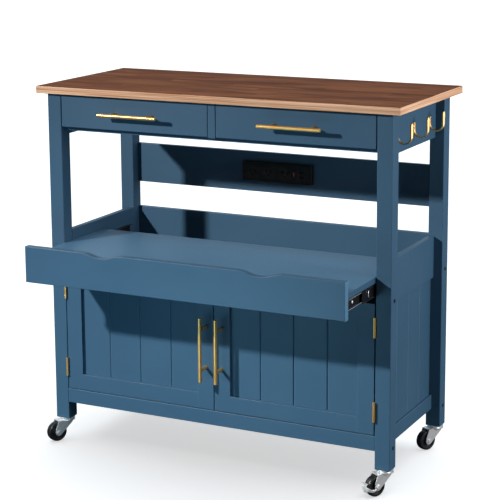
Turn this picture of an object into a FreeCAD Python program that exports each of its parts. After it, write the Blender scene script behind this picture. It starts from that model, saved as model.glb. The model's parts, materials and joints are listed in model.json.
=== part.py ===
"""A kitchen island cart: a painted frame on casters with a wooden worktop, two drawers, a pull-out tray,
a cabinet with two panelled doors, a power strip in the rear rail and three side hooks.

Millimetres, +Z up. Built about the middle of the frame on the floor, +X to the right seen from the front,
+Y to the back, then moved along Y so that the origin is the bottom centre of the whole cart with the tray
at its half-open rest place.
"""
import FreeCAD
import Part
import math
import os

V = FreeCAD.Vector
X_AXIS = V(1, 0, 0)
Y_AXIS = V(0, 1, 0)
Z_AXIS = V(0, 0, 1)

# ---- overall sizes ----
HEIGHT = 914.0
TOP_WIDTH = 958.0
TOP_THICKNESS = 18.0
TOP_FRONT = -207.0
TOP_BACK = 215.0
FRAME_WIDTH = 912.0
FRAME_DEPTH = 381.0
LEG = 38.0
LEG_BOTTOM = 61.0
TRAY_OUT = 175.5
EDGE_ROUND = 2.0
BOARD_ROUND = 1.5
FRONT_ROUND = 1.2
OVERCUT = 1.0

UNDER_TOP = HEIGHT - TOP_THICKNESS
OUT_X = FRAME_WIDTH / 2
OUT_Y = FRAME_DEPTH / 2
IN_X = OUT_X - LEG
IN_Y = OUT_Y - LEG
TRAY_REST_FRONT = -OUT_Y - TRAY_OUT
SHIFT_Y = -(TRAY_REST_FRONT + TOP_BACK) / 2

# ---- frame screws, in the outer faces of the legs ----
SCREW_Z = (112.0, 464.0)
SCREW_RADIUS = 2.5
SCREW_DEPTH = 24.0
SCREW_HEAD = 4.2
SCREW_HEAD_HEIGHT = 1.4
SCREW_SOCKET = 2.0
SCREW_SOCKET_DEPTH = 1.2

# ---- boards ----
BOARD = 15.0
FRONT_BOARD = 18.0
BACK_BOARD = 12.0
BACK_Y = OUT_Y - BACK_BOARD
SIDE_X = IN_X + BOARD
FRONT_BACK_Y = -OUT_Y + FRONT_BOARD
SET_BACK = 1.0
LOWER_RAIL_DEPTH = 30.0
BACK_PANEL = (3.0, 9.0)

# ---- heights of the levels ----
APRON_BOTTOM = 792.0
DRAWER_FRONT_BOTTOM = 814.0
DRAWER_FRONT_TOP = UNDER_TOP - 3.0
DRAWER_RAIL_BOTTOM = 803.0
DRAWER_RAIL_TOP = 812.0
OUTLET_RAIL = (614.5, 719.0)
GALLERY_TOP = 548.0
GALLERY_BOTTOM = 443.0
GALLERY_BACK_TOP = 547.0
RAIL_BOTTOM = 104.5
RAIL_TOP = 141.5
FLOOR_THICKNESS = 15.0
DOOR_BOTTOM = 143.5
DOOR_TOP = 457.0
TOP_RAIL = (440.0, 460.0)
SHELF_BOTTOM = 295.0

# ---- drawers ----
DIVIDER = 19.0
DRAWER_SIDE_GAP = 2.0
DRAWER_MIDDLE_GAP = 1.5
BOX_BOTTOM = 817.8
BOX_TOP = 880.0
BOX_WALL = 12.0
BOX_BACK = 150.0
BOX_INSET = 13.6
BOX_FLOOR = 8.0
RUNNER_LEDGE = 24.0
RUNNER_LIP = 13.0
RUNNER_TOP = 832.0
LEDGE_TOP = 817.4

# ---- bar pulls ----
PULL_LENGTH = 160.0
PULL_RADIUS = 4.5
POST_RADIUS = 4.0
POST_SPACING = 102.0
PULL_STANDOFF = 32.0
PULL_END_ROUND = 0.8
DOOR_PULL_X = 21.0

# ---- tray ----
TRAY_HALF = IN_X - 1.0
TRAY_FRONT = (459.5, 548.0)
DECK = (506.0, 520.0)
DECK_DEPTH = 342.0
DIP_CENTRE = 206.0
DIP_HALF = 59.0
DIP_DEPTH = 10.0
TRAY_SIDE_BOTTOM = 472.0
SLIDE_LENGTH = 300.0
SLIDE_ROOM = 13.0
SLIDE_Z = 488.0
SLIDE_START = FRONT_BACK_Y + 1.0
SHEET = 1.2
OUTER_LIP = 7.0
OUTER_HALF = 17.5
MIDDLE_WEB = 6.4
MIDDLE_LIPS = (4.0, 3.0)
MIDDLE_HALF = 14.8
INNER_LIP = 5.4
INNER_HALF = 12.0

# ---- doors ----
DOOR_GAP = 2.5
STILE = 42.0
DOOR_RAIL = 40.0
PANEL_SET_BACK = 8.0
PANEL_THICKNESS = 8.0
GROOVE_DEPTH = 6.0
PLANK = 87.0
V_WIDTH = 4.0
V_DEPTH = 2.0
HINGE_HEIGHT = 45.0
HINGE_Z = (200.0, 401.5)
HINGE_X = IN_X - DOOR_GAP / 2
HINGE_Y = -OUT_Y - 3.4
KNUCKLE_RADIUS = 3.0
PIN_RADIUS = 1.2
LEAF = 1.0
LEAF_BACK = -OUT_Y + 15.0
KNUCKLES = 5
KNUCKLE_GAP = 0.3
KNUCKLE_ROOM = 0.35
PIN_HEAD = 1.0
RUNNING = 0.05
STRIKE = (5.0, 31.0, 427.0, 439.0)
STRIKE_THICKNESS = 0.6
CATCH_HALF = 34.0
CATCH_HEIGHT = 14.0
CATCH_DEPTH = (1.1, 17.0)

# ---- inner shelf ----
SHELF_SIDE_GAP = 1.0
SHELF_FRONT_GAP = 5.0
SHELF_BACK_GAP = 2.0
SHELF_PIN_RADIUS = 2.5
SHELF_PIN_LENGTH = 9.0
SHELF_PIN_Y = (-IN_Y - 8.0, IN_Y + 12.0)

# ---- side panels and hooks ----
SIDE_PANEL_THICKNESS = 8.0
SIDE_PLANKS = 4
HOOK_Y = (-107.0, 0.0, 107.0)
HOOK_TOP = 850.0
HOOK_BOTTOM = 815.0
HOOK_TIP = 864.0
HOOK_THICKNESS = 2.8
HOOK_REACH = 37.0
HOOK_STRAP = 8.0
HOOK_PADDLE = 13.0
HOOK_SCREW_Z = (838.0, 846.0)
HOOK_SCREW_RADIUS = 1.6
HOOK_DOME = 3.4
HOOK_DOME_SINK = 2.2
HOOK_TAPER_ROOM = 3.0

# ---- power strip ----
STRIP_HALF = 98.0
STRIP_Z = (644.5, 694.5)
STRIP_FRONT = 165.0
STRIP_BACK = 205.0
SOCKET_X = (-68.0, -22.0, 24.0)
SOCKET_WIDTH = 34.0
SOCKET_HEIGHT = 28.0
SOCKET_DEPTH = 6.0
SLOT_DEPTH = 5.0
BLADE_X = (5.2, 7.2)
BLADE_LOW = (-1.0, -2.0)
BLADE_HIGH = 7.0
EARTH_DROP = 7.0
EARTH_RADIUS = 2.4
PORT_BLOCK = (58.0, 86.0)
PORT_X = (65.0, 79.0)
PORT_DROPS = (-9.0, 3.0)
PORT_HEIGHT = 5.5
GLAND_X = -70.0
GLAND_STEPS = ((0.0, 8.0, 8.0), (8.0, 1.8, 6.0))
GLAND_BORE = 3.6
GLAND_BORE_DEPTH = 6.0

# ---- casters: the steps of a stem and the wheel's half section are radii against heights or widths ----
WHEEL_RADIUS = 25.0
WHEEL_WIDTH = 18.0
TREAD_CORNER = 3.0
TREAD_SIDE = 23.0
RIM = (18.5, 19.5)
DISH_HALF = 6.5
HUB = (7.5, 8.5)
HUB_HALF = 10.5
TRAIL = 30.5
TRAIL_TURN = 61.4
STEM_STEPS = ((58.6, LEG_BOTTOM, 20.5), (56.2, 58.6, 15.0), (50.4, 56.4, 4.0), (49.6, 51.8, 6.0))
KING_PIN = 4.0
RACE = (15.0, 9.0, 1.5)
FORK_INNER = 11.0
FORK_SHEET = 2.0
FORK_BOSS = 9.0
FORK_BACK = -31.0
AXLE_RADIUS = 3.0
AXLE_HEAD = 4.6
AXLE_HEAD_HEIGHT = 1.6
AXLE_SPARE = 0.4
CROWN = (52.3, 54.3)
CROWN_RADIUS = 20.5
CHEEK_OUTLINE = (
    (9.0, CROWN[0]),
    (9.0, 47.0),
    (-24.0, 18.5),
    (-36.0, 18.5),
    (-39.0, 33.0),
    (FORK_BACK, CROWN[0]),
)
LEVER_INNER = 13.4
LEVER_SHEET = 1.5
LEVER_BAND = (27.4, 29.2)
LEVER_SPAN = (158.0, 210.0)
LEVER_ARM = 29.0
LEVER_ARM_ANGLES = (168.0, 190.0, 208.0)
LEVER_EYE = 6.5
PEDAL_HALF = 10.5
PEDAL_OUTLINE = ((3.0, -1.6), (3.0, 0.4), (-6.0, 3.0), (-6.0, 1.0))

SIDES = {"left": -1, "right": 1}
CASTERS = {
    "front_left": (-1, -1),
    "front_right": (1, -1),
    "rear_left": (-1, 1),
    "rear_right": (1, 1),
}
BRAKED = ("front_right", "rear_left")


# ---- helpers ----
def box(x0, x1, y0, y1, z0, z1):
    """A box between two opposite corners, given in any order."""
    low = V(min(x0, x1), min(y0, y1), min(z0, z1))
    return Part.makeBox(abs(x1 - x0), abs(y1 - y0), abs(z1 - z0), low)


def eased(shape, direction, radius=EDGE_ROUND):
    """The shape with its straight edges along one direction rounded."""
    edges = [e for e in shape.Edges if abs(e.tangentAt(e.FirstParameter).dot(direction)) > 0.999]
    return shape.makeFillet(radius, edges)


def rod(start, direction, length, radius):
    """A round bar."""
    return Part.makeCylinder(radius, length, start, direction)


def tube(start, direction, length, radius, bore):
    """A round bar with a bore right through."""
    return rod(start, direction, length, radius).cut(rod(start, direction, length, bore))


def plate(outline, direction, thickness):
    """A flat piece from a closed list of corners, pushed out along one direction."""
    wire = Part.makePolygon(outline + [outline[0]])
    return Part.Face(wire).extrude(direction * thickness)


def mirror_x(shape):
    """The same piece on the other side of the cart."""
    return shape.mirror(V(0, 0, 0), X_AXIS)


def group(shapes):
    """Separate solids kept together in one file."""
    return Part.makeCompound(shapes)


def save(name, shape):
    """Writes one piece, moved so that the origin is the bottom centre of the whole cart."""
    moved = shape.copy()
    moved.translate(V(0, SHIFT_Y, 0))
    moved.exportStep("parts/%s.step" % name)


# ---- worktop and frame ----
def worktop():
    board = box(-TOP_WIDTH / 2, TOP_WIDTH / 2, TOP_FRONT, TOP_BACK, UNDER_TOP, HEIGHT)
    return board.makeFillet(BOARD_ROUND, board.Edges)


def leg(side, end):
    """A square post, drilled from outside for the two screws that hold the rails."""
    x = side * (OUT_X - LEG / 2)
    y = end * (OUT_Y - LEG / 2)
    post = box(x - LEG / 2, x + LEG / 2, y - LEG / 2, y + LEG / 2, LEG_BOTTOM, UNDER_TOP)
    post = eased(post, Z_AXIS)
    for z in SCREW_Z:
        post = post.cut(rod(V(side * OUT_X, y, z), V(-side, 0, 0), SCREW_DEPTH, SCREW_RADIUS))
    return post


def frame_screw(side, end, z):
    """A screw with a flat round head and a hexagon socket."""
    start = V(side * OUT_X, end * (OUT_Y - LEG / 2), z)
    shank = rod(start, V(-side, 0, 0), SCREW_DEPTH, SCREW_RADIUS)
    head = rod(start, V(side, 0, 0), SCREW_HEAD_HEIGHT, SCREW_HEAD)
    face = start + V(side * SCREW_HEAD_HEIGHT, 0, 0)
    turns = [math.radians(60 * n) for n in range(6)]
    corners = [face + V(0, math.cos(a), math.sin(a)) * SCREW_SOCKET for a in turns]
    socket = plate(corners, V(-side, 0, 0), SCREW_SOCKET_DEPTH)
    return shank.fuse(head).removeSplitter().cut(socket)


def leg_screws():
    return group([frame_screw(s, e, z) for s in (-1, 1) for e in (-1, 1) for z in SCREW_Z])


def side_apron(side):
    board = box(side * IN_X, side * SIDE_X, -IN_Y, IN_Y, APRON_BOTTOM, UNDER_TOP)
    return eased(board, Y_AXIS, BOARD_ROUND)


def rear_apron():
    board = box(-IN_X, IN_X, OUT_Y - FRONT_BOARD, OUT_Y, APRON_BOTTOM, UNDER_TOP)
    return eased(board, X_AXIS, BOARD_ROUND)


def drawer_divider():
    return box(-DIVIDER / 2, DIVIDER / 2, -OUT_Y, OUT_Y - FRONT_BOARD, DRAWER_RAIL_TOP, UNDER_TOP)


def drawer_lower_rail():
    y0 = FRONT_BACK_Y + SET_BACK
    return box(-IN_X, IN_X, y0, y0 + LOWER_RAIL_DEPTH, DRAWER_RAIL_BOTTOM, DRAWER_RAIL_TOP)


def drawer_runner(wall_x, inward):
    """An L-shaped wooden runner on a wall: the drawer side rides on its ledge beside its lip."""
    y0 = FRONT_BACK_Y + SET_BACK + LOWER_RAIL_DEPTH
    y1 = OUT_Y - FRONT_BOARD
    ledge = box(wall_x, wall_x + inward * RUNNER_LEDGE, y0, y1, DRAWER_RAIL_BOTTOM, LEDGE_TOP)
    lip = box(wall_x, wall_x + inward * RUNNER_LIP, y0, y1, LEDGE_TOP, RUNNER_TOP)
    return ledge.fuse(lip).removeSplitter()


def drawer_runners():
    """Two runners for each drawer: one beside the legs, one beside the divider."""
    half = DIVIDER / 2
    notch = box(-half, half, -OUT_Y, OUT_Y, DRAWER_RAIL_BOTTOM, UNDER_TOP)
    inner = [drawer_runner(s * half, s) for s in (-1, 1)]
    outer = [drawer_runner(s * IN_X, -s) for s in (-1, 1)]
    return group([runner.cut(notch) for runner in inner + outer])


def bottom_rails():
    """The rails round the foot of the cabinet and the rail across its front below the tray."""
    front_y = -OUT_Y + SET_BACK
    top_y = FRONT_BACK_Y + SET_BACK
    front = box(-IN_X, IN_X, front_y, front_y + FRONT_BOARD, RAIL_BOTTOM, RAIL_TOP)
    rear = box(-IN_X, IN_X, BACK_Y, OUT_Y, RAIL_BOTTOM, RAIL_TOP)
    top = box(-IN_X, IN_X, top_y, top_y + FRONT_BOARD, *TOP_RAIL)
    sides = [box(s * IN_X, s * SIDE_X, -IN_Y, IN_Y, RAIL_BOTTOM, RAIL_TOP) for s in SIDES.values()]
    boards = [eased(board, X_AXIS, BOARD_ROUND) for board in (front, rear, top)]
    return group(boards + [eased(board, Y_AXIS, BOARD_ROUND) for board in sides])


def cabinet_floor():
    return box(-IN_X, IN_X, FRONT_BACK_Y + SET_BACK, BACK_Y, RAIL_TOP - FLOOR_THICKNESS, RAIL_TOP)


def v_cut(shape, x, y, along, normal, low, high):
    """Cuts one upright V-shaped groove into a board's face, between two heights."""
    surface = V(x, y, low)
    side = along * (V_WIDTH / 2)
    out = normal * OVERCUT
    corners = [surface - side, surface - side + out, surface + side + out, surface + side]
    corners.append(surface - normal * V_DEPTH)
    return shape.cut(plate(corners, Z_AXIS, high - low))


def side_panel(side):
    """The boarded panel in each end, grooved between its planks."""
    face = side * (IN_X + SIDE_PANEL_THICKNESS)
    board = box(side * IN_X, face, -IN_Y, IN_Y, RAIL_TOP, GALLERY_BOTTOM)
    step = 2 * IN_Y / SIDE_PLANKS
    for n in range(1, SIDE_PLANKS):
        y = -IN_Y + n * step
        board = v_cut(board, face, y, Y_AXIS, V(side, 0, 0), RAIL_TOP, GALLERY_BOTTOM)
    return board


def side_board(side):
    """The upper side board: it carries the tray slide and stands up as the tray's end rail."""
    board = box(side * IN_X, side * SIDE_X, -IN_Y, IN_Y, GALLERY_BOTTOM, GALLERY_TOP)
    return eased(board, Y_AXIS, BOARD_ROUND)


def gallery_back():
    return eased(box(-IN_X, IN_X, BACK_Y, OUT_Y, GALLERY_BOTTOM, GALLERY_BACK_TOP), X_AXIS, BOARD_ROUND)


def back_panel():
    front, back = BACK_PANEL
    return box(-IN_X, IN_X, BACK_Y + front, BACK_Y + back, RAIL_TOP, GALLERY_BOTTOM)


def outlet_rail():
    """The rear rail, with a window that the power strip passes through."""
    rail = eased(box(-IN_X, IN_X, BACK_Y, OUT_Y, *OUTLET_RAIL), X_AXIS, BOARD_ROUND)
    return rail.cut(box(-STRIP_HALF, STRIP_HALF, BACK_Y - OVERCUT, OUT_Y + OVERCUT, *STRIP_Z))


# ---- power strip ----
def socket_plate(x):
    """The place of one socket plate in the strip's face."""
    middle = sum(STRIP_Z) / 2
    half = SOCKET_WIDTH / 2
    z0 = middle - SOCKET_HEIGHT / 2
    return box(x - half, x + half, STRIP_FRONT, STRIP_FRONT + SOCKET_DEPTH, z0, z0 + SOCKET_HEIGHT)


def socket_slots(x):
    """Two blade slots, the right one longer, and a round earth hole."""
    middle = sum(STRIP_Z) / 2
    near, far = BLADE_X
    y0 = STRIP_FRONT - OVERCUT
    y1 = STRIP_FRONT + SLOT_DEPTH
    left = box(x - far, x - near, y0, y1, middle + BLADE_LOW[0], middle + BLADE_HIGH)
    right = box(x + near, x + far, y0, y1, middle + BLADE_LOW[1], middle + BLADE_HIGH)
    earth = rod(V(x, y0, middle - EARTH_DROP), Y_AXIS, y1 - y0, EARTH_RADIUS)
    return [left, right, earth]


def port_block():
    """The place of the charging-port plate in the strip's face."""
    middle = sum(STRIP_Z) / 2
    half = SOCKET_HEIGHT / 2
    return box(*PORT_BLOCK, STRIP_FRONT, STRIP_FRONT + SOCKET_DEPTH, middle - half, middle + half)


def power_strip():
    """The strip's body: recessed for its sockets, with a cord gland at the back."""
    body = box(-STRIP_HALF, STRIP_HALF, STRIP_FRONT, STRIP_BACK, *STRIP_Z)
    front = [e for e in body.Edges if e.BoundBox.YMax < STRIP_FRONT + OVERCUT]
    body = body.makeFillet(BOARD_ROUND, front)
    for x in SOCKET_X:
        body = body.cut(socket_plate(x))
    body = body.cut(port_block())
    start = V(GLAND_X, STRIP_BACK, sum(STRIP_Z) / 2)
    for offset, length, radius in GLAND_STEPS:
        body = body.fuse(rod(start + Y_AXIS * offset, Y_AXIS, length, radius))
    reach = sum(length for _, length, _ in GLAND_STEPS) + GLAND_BORE_DEPTH + OVERCUT
    mouth = rod(start - Y_AXIS * GLAND_BORE_DEPTH, Y_AXIS, reach, GLAND_BORE)
    return body.removeSplitter().cut(mouth)


def power_sockets():
    """Socket plates and the charging-port plate, each let into the strip's face."""
    plates = []
    for x in SOCKET_X:
        piece = socket_plate(x)
        for slot in socket_slots(x):
            piece = piece.cut(slot)
        plates.append(piece)
    ports = port_block()
    for drop in PORT_DROPS:
        z = sum(STRIP_Z) / 2 + drop
        ports = ports.cut(box(*PORT_X, STRIP_FRONT - OVERCUT, STRIP_FRONT + SLOT_DEPTH, z, z + PORT_HEIGHT))
    plates.append(ports)
    return group(plates)


# ---- hooks ----
def hook_outline(y):
    """The hook seen from the side it reaches to: a narrow strap, and an arm that widens to a round tip."""
    far = SIDE_X + HOOK_REACH
    taper_x = far - HOOK_THICKNESS - HOOK_TAPER_ROOM
    half = HOOK_STRAP / 2
    wide = HOOK_PADDLE / 2
    tip_z = HOOK_TIP - wide
    narrow = box(SIDE_X, taper_x, y - half, y + half, HOOK_BOTTOM, HOOK_TOP)
    corners = [
        V(taper_x, y - half, HOOK_BOTTOM),
        V(taper_x, y + half, HOOK_BOTTOM),
        V(taper_x, y + wide, tip_z),
        V(taper_x, y - wide, tip_z),
    ]
    taper = plate(corners, X_AXIS, far - taper_x)
    tip = rod(V(far - HOOK_THICKNESS, y, tip_z), X_AXIS, HOOK_THICKNESS, wide)
    return narrow.fuse([taper, tip])


def hook(y):
    """A flat brass J: strap on the apron, round bend, and an arm on the far side."""
    far = SIDE_X + HOOK_REACH
    outer = HOOK_REACH / 2
    y0 = y - HOOK_PADDLE
    y1 = y + HOOK_PADDLE
    bend_z = HOOK_BOTTOM + outer
    ring = tube(V(SIDE_X + outer, y0, bend_z), Y_AXIS, y1 - y0, outer, outer - HOOK_THICKNESS)
    ring = ring.cut(box(SIDE_X - OVERCUT, far + OVERCUT, y0, y1, bend_z, bend_z + HOOK_REACH))
    strap = box(SIDE_X, SIDE_X + HOOK_THICKNESS, y0, y1, bend_z, HOOK_TOP)
    arm = box(far - HOOK_THICKNESS, far, y0, y1, bend_z, HOOK_TIP)
    piece = ring.fuse([strap, arm]).common(hook_outline(y)).removeSplitter()
    for z in HOOK_SCREW_Z:
        piece = piece.cut(rod(V(SIDE_X - OVERCUT, y, z), X_AXIS, 2 * HOOK_THICKNESS, HOOK_SCREW_RADIUS))
    return piece


def hook_screws():
    """Round-headed screws that hold the hooks to the apron."""
    screws = []
    face = SIDE_X + HOOK_THICKNESS
    for y in HOOK_Y:
        for z in HOOK_SCREW_Z:
            shank = rod(V(SIDE_X, y, z), X_AXIS, HOOK_THICKNESS, HOOK_SCREW_RADIUS)
            dome = Part.makeSphere(HOOK_DOME, V(face - HOOK_DOME_SINK, y, z))
            room = box(face, face + HOOK_DOME, y - HOOK_DOME, y + HOOK_DOME, z - HOOK_DOME, z + HOOK_DOME)
            screws.append(shank.fuse(dome.common(room)).removeSplitter())
    return group(screws)


# ---- bar pulls ----
def bar_pull(x, z, along):
    """A round bar on two posts standing on the front face."""
    axis_y = -OUT_Y - PULL_STANDOFF
    middle = V(x, axis_y, z)
    bar = rod(middle - along * (PULL_LENGTH / 2), along, PULL_LENGTH, PULL_RADIUS)
    rims = [e for e in bar.Edges if len(e.Vertexes) == 1]
    bar = bar.makeFillet(PULL_END_ROUND, rims)
    for step in (-POST_SPACING / 2, POST_SPACING / 2):
        foot = middle + along * step
        bar = bar.fuse(rod(foot, Y_AXIS, PULL_STANDOFF, POST_RADIUS))
    return bar.removeSplitter()


# ---- drawers ----
def drawer_span(side):
    """The front's near and far edges, from the middle of the cart outwards."""
    return side * (DIVIDER / 2 + DRAWER_MIDDLE_GAP), side * (IN_X - DRAWER_SIDE_GAP)


def drawer_front(side):
    near, far = drawer_span(side)
    board = box(near, far, -OUT_Y, FRONT_BACK_Y, DRAWER_FRONT_BOTTOM, DRAWER_FRONT_TOP)
    return board.makeFillet(FRONT_ROUND, board.Edges)


def drawer_box(side):
    """An open wooden box behind the front."""
    near = side * (DIVIDER / 2 + BOX_INSET)
    far = side * (IN_X - BOX_INSET)
    outer = box(near, far, FRONT_BACK_Y, BOX_BACK, BOX_BOTTOM, BOX_TOP)
    wall = side * BOX_WALL
    y0 = FRONT_BACK_Y + BOX_WALL
    y1 = BOX_BACK - BOX_WALL
    return outer.cut(box(near + wall, far - wall, y0, y1, BOX_BOTTOM + BOX_FLOOR, BOX_TOP + OVERCUT))


def drawer_pull(side):
    near, far = drawer_span(side)
    return bar_pull((near + far) / 2, (DRAWER_FRONT_BOTTOM + DRAWER_FRONT_TOP) / 2, X_AXIS)


# ---- tray ----
def dip_arcs(centre, z):
    """A finger dip in the tray front's top edge: shoulder, hollow and shoulder, all of one radius."""
    half_turn = 2 * math.atan(DIP_DEPTH / DIP_HALF)
    radius = DIP_HALF / (2 * math.sin(half_turn))
    quarter = radius * math.sin(half_turn / 2)
    sag = radius * (1 - math.cos(half_turn / 2))
    bend = radius * math.sin(half_turn)
    y = TRAY_REST_FRONT
    points = [
        V(centre - DIP_HALF, y, z),
        V(centre - DIP_HALF + quarter, y, z - sag),
        V(centre - DIP_HALF + bend, y, z - DIP_DEPTH / 2),
        V(centre, y, z - DIP_DEPTH),
        V(centre + DIP_HALF - bend, y, z - DIP_DEPTH / 2),
        V(centre + DIP_HALF - quarter, y, z - sag),
        V(centre + DIP_HALF, y, z),
    ]
    return [Part.Arc(*points[i : i + 3]).toShape() for i in (0, 2, 4)]


def tray_front():
    """The tray's front board with two finger dips in its top edge."""
    low, high = TRAY_FRONT
    y = TRAY_REST_FRONT
    left_dip = dip_arcs(-DIP_CENTRE, high)
    right_dip = dip_arcs(DIP_CENTRE, high)
    edges = [Part.makeLine(V(-TRAY_HALF, y, low), V(-TRAY_HALF, y, high))]
    edges.append(Part.makeLine(V(-TRAY_HALF, y, high), V(-DIP_CENTRE - DIP_HALF, y, high)))
    edges += left_dip
    edges.append(Part.makeLine(V(-DIP_CENTRE + DIP_HALF, y, high), V(DIP_CENTRE - DIP_HALF, y, high)))
    edges += right_dip
    edges.append(Part.makeLine(V(DIP_CENTRE + DIP_HALF, y, high), V(TRAY_HALF, y, high)))
    edges.append(Part.makeLine(V(TRAY_HALF, y, high), V(TRAY_HALF, y, low)))
    edges.append(Part.makeLine(V(TRAY_HALF, y, low), V(-TRAY_HALF, y, low)))
    board = Part.Face(Part.Wire(edges)).extrude(Y_AXIS * FRONT_BOARD)
    rims = [e for e in board.Edges if abs(e.tangentAt(e.FirstParameter).y) < 0.5]
    return board.makeFillet(BOARD_ROUND, rims)


def tray_deck():
    y0 = TRAY_REST_FRONT + FRONT_BOARD
    return box(-TRAY_HALF, TRAY_HALF, y0, y0 + DECK_DEPTH, *DECK)


def tray_sides():
    """The boards under the deck: the slides are screwed to the two long ones."""
    y0 = TRAY_REST_FRONT + FRONT_BOARD
    y1 = y0 + DECK_DEPTH
    outer = IN_X - SLIDE_ROOM
    inner = outer - BOARD
    sides = [box(s * inner, s * outer, y0, y1 - BOARD, TRAY_SIDE_BOTTOM, DECK[0]) for s in (-1, 1)]
    rear = box(-outer, outer, y1 - BOARD, y1, TRAY_SIDE_BOTTOM, DECK[0])
    return group(sides + [rear])


def slide_channel(back_x, lip_x, half_height, y0):
    """A sheet-steel channel: an upright web at one side and a lip along its top and its bottom."""
    toward = 1 if lip_x > back_x else -1
    y1 = y0 + SLIDE_LENGTH
    web = box(back_x, back_x + toward * SHEET, y0, y1, SLIDE_Z - half_height, SLIDE_Z + half_height)
    top = box(back_x, lip_x, y0, y1, SLIDE_Z + half_height - SHEET, SLIDE_Z + half_height)
    bottom = box(back_x, lip_x, y0, y1, SLIDE_Z - half_height, SLIDE_Z - half_height + SHEET)
    return web.fuse([top, bottom]).removeSplitter()


def slide_outer_members():
    right = slide_channel(IN_X, IN_X - OUTER_LIP, OUTER_HALF, SLIDE_START)
    return group([right, mirror_x(right)])


def slide_middle_members():
    """The middle members, with a lip to both sides, half as far out as the tray."""
    y0 = SLIDE_START - TRAY_OUT / 2
    web_x = IN_X - MIDDLE_WEB
    outward = slide_channel(web_x, web_x + MIDDLE_LIPS[0], MIDDLE_HALF, y0)
    inward = slide_channel(web_x + SHEET, web_x - MIDDLE_LIPS[1], MIDDLE_HALF, y0)
    right = outward.fuse(inward).removeSplitter()
    return group([right, mirror_x(right)])


def slide_inner_members():
    start = SLIDE_START - TRAY_OUT
    back = IN_X - SLIDE_ROOM
    right = slide_channel(back, back + INNER_LIP, INNER_HALF, start)
    return group([right, mirror_x(right)])


# ---- doors ----
def door_edges(side):
    """The door's edge at the middle of the cart and its edge at the hinges."""
    return side * DOOR_GAP / 2, side * (IN_X - DOOR_GAP)


def door_frame(side):
    """Two full-height stiles and two rails, grooved inside to hold the panel."""
    near, far = door_edges(side)
    front = -OUT_Y
    back = FRONT_BACK_Y
    inner_near = near + side * STILE
    inner_far = far - side * STILE
    pieces = [
        box(near, inner_near, front, back, DOOR_BOTTOM, DOOR_TOP),
        box(inner_far, far, front, back, DOOR_BOTTOM, DOOR_TOP),
        box(inner_near, inner_far, front, back, DOOR_BOTTOM, DOOR_BOTTOM + DOOR_RAIL),
        box(inner_near, inner_far, front, back, DOOR_TOP - DOOR_RAIL, DOOR_TOP),
    ]
    room = panel_blank(side)
    return group([piece.cut(room) for piece in pieces])


def panel_blank(side):
    """The panel with its edges in the frame's grooves, before its face is grooved."""
    near, far = door_edges(side)
    inner_near = near + side * (STILE - GROOVE_DEPTH)
    inner_far = far - side * (STILE - GROOVE_DEPTH)
    y0 = -OUT_Y + PANEL_SET_BACK
    z0 = DOOR_BOTTOM + DOOR_RAIL - GROOVE_DEPTH
    z1 = DOOR_TOP - DOOR_RAIL + GROOVE_DEPTH
    return box(inner_near, inner_far, y0, y0 + PANEL_THICKNESS, z0, z1)


def door_panel(side):
    near, far = door_edges(side)
    middle = (near + far) / 2
    face = -OUT_Y + PANEL_SET_BACK
    panel = panel_blank(side)
    low = DOOR_BOTTOM + DOOR_RAIL
    high = DOOR_TOP - DOOR_RAIL
    for n in (-1, 0, 1):
        panel = v_cut(panel, middle + n * PLANK, face, X_AXIS, V(0, -1, 0), low, high)
    return panel


def door_pull(side):
    return bar_pull(side * DOOR_PULL_X, (DOOR_BOTTOM + DOOR_TOP) / 2, Z_AXIS)


def knuckle_spans(z):
    """The heights of a hinge's knuckles, bottom to top."""
    tall = (HINGE_HEIGHT - (KNUCKLES - 1) * KNUCKLE_GAP) / KNUCKLES
    low = z - HINGE_HEIGHT / 2
    return [(low + n * (tall + KNUCKLE_GAP), tall) for n in range(KNUCKLES)]


def hinge_leaf(side, z, own, plate_x, bore):
    """One leaf of a butt hinge: its plate in the gap and its knuckles round the pin."""
    x = side * HINGE_X
    low = z - HINGE_HEIGHT / 2
    leaf = box(plate_x, plate_x + side * LEAF, HINGE_Y, LEAF_BACK, low, low + HINGE_HEIGHT)
    for n, (start, tall) in enumerate(knuckle_spans(z)):
        if n % 2 == own:
            leaf = leaf.fuse(rod(V(x, HINGE_Y, start), Z_AXIS, tall, KNUCKLE_RADIUS))
        else:
            room = KNUCKLE_RADIUS + KNUCKLE_ROOM
            clear = rod(V(x, HINGE_Y, start - KNUCKLE_GAP), Z_AXIS, tall + 2 * KNUCKLE_GAP, room)
            leaf = leaf.cut(clear)
    hole = rod(V(x, HINGE_Y, low - OVERCUT), Z_AXIS, HINGE_HEIGHT + 2 * OVERCUT, bore)
    return leaf.cut(hole).removeSplitter()


def hinge_pin(side, z):
    """A pin with a thin head at both ends."""
    x = side * HINGE_X
    low = z - HINGE_HEIGHT / 2
    pin = rod(V(x, HINGE_Y, low), Z_AXIS, HINGE_HEIGHT, PIN_RADIUS)
    for start in (low - PIN_HEAD, low + HINGE_HEIGHT):
        pin = pin.fuse(rod(V(x, HINGE_Y, start), Z_AXIS, PIN_HEAD, KNUCKLE_RADIUS))
    return pin.removeSplitter()


def hinge_frame_leaves():
    pieces = []
    for side in SIDES.values():
        for z in HINGE_Z:
            pieces.append(hinge_leaf(side, z, 0, side * (IN_X - LEAF), PIN_RADIUS))
            pieces.append(hinge_pin(side, z))
    return group(pieces)


def door_hardware(side):
    """The door's hinge leaves and the strike plate for its magnetic catch."""
    leaf_x = side * (IN_X - DOOR_GAP)
    leaves = [hinge_leaf(side, z, 1, leaf_x, PIN_RADIUS + RUNNING) for z in HINGE_Z]
    near, far, low, high = STRIKE
    strike = box(side * near, side * far, FRONT_BACK_Y, FRONT_BACK_Y + STRIKE_THICKNESS, low, high)
    return group(leaves + [strike])


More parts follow.
